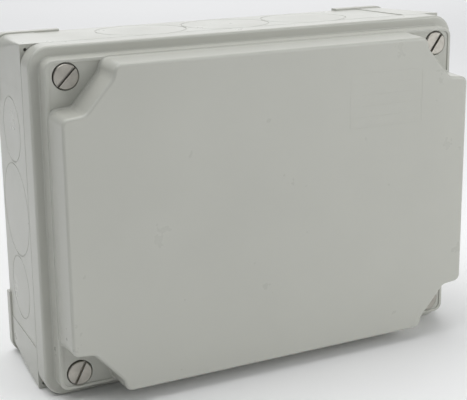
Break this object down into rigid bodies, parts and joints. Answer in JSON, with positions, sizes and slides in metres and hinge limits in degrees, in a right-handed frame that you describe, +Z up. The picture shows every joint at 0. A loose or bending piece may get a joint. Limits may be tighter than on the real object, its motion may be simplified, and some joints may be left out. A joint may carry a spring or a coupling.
{
  "type": "electrical junction box",
  "caption": "Rectangular moulded junction box with a deep screw-down lid, seal, knock-outs, and a clamp terminal strip on a rail inside.",
  "frame": {"origin": "middle of the footprint on the ground, with the box standing on its lower long side", "axes": "+X along the width, to the right seen from the lid side; +Y away from the lid, towards the wall; +Z up"},
  "size_m": [0.308, 0.12, 0.225],
  "materials": {
    "grey_plastic": "light grey moulded plastic, satin, fine mould grain",
    "seal_rubber": "soft black sealing rubber",
    "screw_metal": "dull plated steel with turning marks",
    "brass": "plain turned or stamped brass",
    "zinc_sheet": "zinc-plated sheet",
    "terminal_grey": "grey polyamide",
    "terminal_blue": "blue polyamide",
    "terminal_earth": "green and yellow polyamide",
    "cap_plastic": "grey moulded plastic plug"
  },
  "bodies": {
    "base": {"base_housing": "grey_plastic", "tower_insert_top_left": "brass", "fixing_cap_top_left": "cap_plastic", "plate_screw_top_left": "screw_metal", "tower_insert_top_right": "brass", "fixing_cap_top_right": "cap_plastic", "plate_screw_top_right": "screw_metal", "tower_insert_bottom_left": "brass", "fixing_cap_bottom_left": "cap_plastic", "plate_screw_bottom_left": "screw_metal", "tower_insert_bottom_right": "brass", "fixing_cap_bottom_right": "cap_plastic", "plate_screw_bottom_right": "screw_metal", "mounting_plate": "zinc_sheet", "din_rail": "zinc_sheet", "rail_screw_left": "screw_metal", "rail_screw_right": "screw_metal", "end_stop_left": "terminal_grey", "end_stop_right": "terminal_grey", "end_stop_screw_left": "screw_metal", "end_stop_screw_right": "screw_metal", "terminal_1": "terminal_grey", "current_bar_1": "brass", "terminal_2": "terminal_grey", "current_bar_2": "brass", "terminal_3": "terminal_grey", "current_bar_3": "brass", "terminal_4": "terminal_blue", "current_bar_4": "brass", "terminal_5": "terminal_earth", "current_bar_5": "brass"},
    "cover": {"lid": "grey_plastic", "lid_gasket": "seal_rubber"},
    "seal_top_left": {"screw_seal_top_left": "seal_rubber"},
    "screw_top_left": {"lid_screw_top_left": "screw_metal"},
    "seal_top_right": {"screw_seal_top_right": "seal_rubber"},
    "screw_top_right": {"lid_screw_top_right": "screw_metal"},
    "seal_bottom_left": {"screw_seal_bottom_left": "seal_rubber"},
    "screw_bottom_left": {"lid_screw_bottom_left": "screw_metal"},
    "seal_bottom_right": {"screw_seal_bottom_right": "seal_rubber"},
    "screw_bottom_right": {"lid_screw_bottom_right": "screw_metal"},
    "clamp_1_upper": {"clamp_screw_1_upper": "screw_metal"},
    "clamp_1_lower": {"clamp_screw_1_lower": "screw_metal"},
    "clamp_2_upper": {"clamp_screw_2_upper": "screw_metal"},
    "clamp_2_lower": {"clamp_screw_2_lower": "screw_metal"},
    "clamp_3_upper": {"clamp_screw_3_upper": "screw_metal"},
    "clamp_3_lower": {"clamp_screw_3_lower": "screw_metal"},
    "clamp_4_upper": {"clamp_screw_4_upper": "screw_metal"},
    "clamp_4_lower": {"clamp_screw_4_lower": "screw_metal"},
    "clamp_5_upper": {"clamp_screw_5_upper": "screw_metal"},
    "clamp_5_lower": {"clamp_screw_5_lower": "screw_metal"}
  },
  "joints": [
    {"name": "lid_lift_off", "type": "slide", "parent": "base", "child": "cover", "axis": [0, -1, 0], "range_m": [0, 0.15]},
    {"name": "screw_advance_top_left", "type": "slide", "parent": "cover", "child": "seal_top_left", "axis": [0, -1, 0], "range_m": [0, 0.0075]},
    {"name": "screw_turn_top_left", "type": "hinge", "parent": "seal_top_left", "child": "screw_top_left", "pos_m": [-0.134, -0.0375, 0.2075], "axis": [0, -1, 0], "range_deg": [0, 1800]},
    {"name": "screw_advance_top_right", "type": "slide", "parent": "cover", "child": "seal_top_right", "axis": [0, -1, 0], "range_m": [0, 0.0075]},
    {"name": "screw_turn_top_right", "type": "hinge", "parent": "seal_top_right", "child": "screw_top_right", "pos_m": [0.134, -0.0375, 0.2075], "axis": [0, -1, 0], "range_deg": [0, 1800]},
    {"name": "screw_advance_bottom_left", "type": "slide", "parent": "cover", "child": "seal_bottom_left", "axis": [0, -1, 0], "range_m": [0, 0.0075]},
    {"name": "screw_turn_bottom_left", "type": "hinge", "parent": "seal_bottom_left", "child": "screw_bottom_left", "pos_m": [-0.134, -0.0375, 0.0175], "axis": [0, -1, 0], "range_deg": [0, 1800]},
    {"name": "screw_advance_bottom_right", "type": "slide", "parent": "cover", "child": "seal_bottom_right", "axis": [0, -1, 0], "range_m": [0, 0.0075]},
    {"name": "screw_turn_bottom_right", "type": "hinge", "parent": "seal_bottom_right", "child": "screw_bottom_right", "pos_m": [0.134, -0.0375, 0.0175], "axis": [0, -1, 0], "range_deg": [0, 1800]},
    {"name": "clamp_turn_1_upper", "type": "hinge", "parent": "base", "child": "clamp_1_upper", "pos_m": [-0.02, 0.0095, 0.1255], "axis": [0, -1, 0], "range_deg": [0, 360]},
    {"name": "clamp_turn_1_lower", "type": "hinge", "parent": "base", "child": "clamp_1_lower", "pos_m": [-0.02, 0.0095, 0.0995], "axis": [0, -1, 0], "range_deg": [0, 360]},
    {"name": "clamp_turn_2_upper", "type": "hinge", "parent": "base", "child": "clamp_2_upper", "pos_m": [-0.01, 0.0095, 0.1255], "axis": [0, -1, 0], "range_deg": [0, 360]},
    {"name": "clamp_turn_2_lower", "type": "hinge", "parent": "base", "child": "clamp_2_lower", "pos_m": [-0.01, 0.0095, 0.0995], "axis": [0, -1, 0], "range_deg": [0, 360]},
    {"name": "clamp_turn_3_upper", "type": "hinge", "parent": "base", "child": "clamp_3_upper", "pos_m": [0, 0.0095, 0.1255], "axis": [0, -1, 0], "range_deg": [0, 360]},
    {"name": "clamp_turn_3_lower", "type": "hinge", "parent": "base", "child": "clamp_3_lower", "pos_m": [0, 0.0095, 0.0995], "axis": [0, -1, 0], "range_deg": [0, 360]},
    {"name": "clamp_turn_4_upper", "type": "hinge", "parent": "base", "child": "clamp_4_upper", "pos_m": [0.01, 0.0095, 0.1255], "axis": [0, -1, 0], "range_deg": [0, 360]},
    {"name": "clamp_turn_4_lower", "type": "hinge", "parent": "base", "child": "clamp_4_lower", "pos_m": [0.01, 0.0095, 0.0995], "axis": [0, -1, 0], "range_deg": [0, 360]},
    {"name": "clamp_turn_5_upper", "type": "hinge", "parent": "base", "child": "clamp_5_upper", "pos_m": [0.02, 0.0095, 0.1255], "axis": [0, -1, 0], "range_deg": [0, 360]},
    {"name": "clamp_turn_5_lower", "type": "hinge", "parent": "base", "child": "clamp_5_lower", "pos_m": [0.02, 0.0095, 0.0995], "axis": [0, -1, 0], "range_deg": [0, 360]}
  ],
  "couplings": [
    {"joint": "screw_advance_top_left", "follows": "screw_turn_top_left", "m_per_rad": 0.0002387},
    {"joint": "screw_advance_top_right", "follows": "screw_turn_top_right", "m_per_rad": 0.0002387},
    {"joint": "screw_advance_bottom_left", "follows": "screw_turn_bottom_left", "m_per_rad": 0.0002387},
    {"joint": "screw_advance_bottom_right", "follows": "screw_turn_bottom_right", "m_per_rad": 0.0002387}
  ]
}
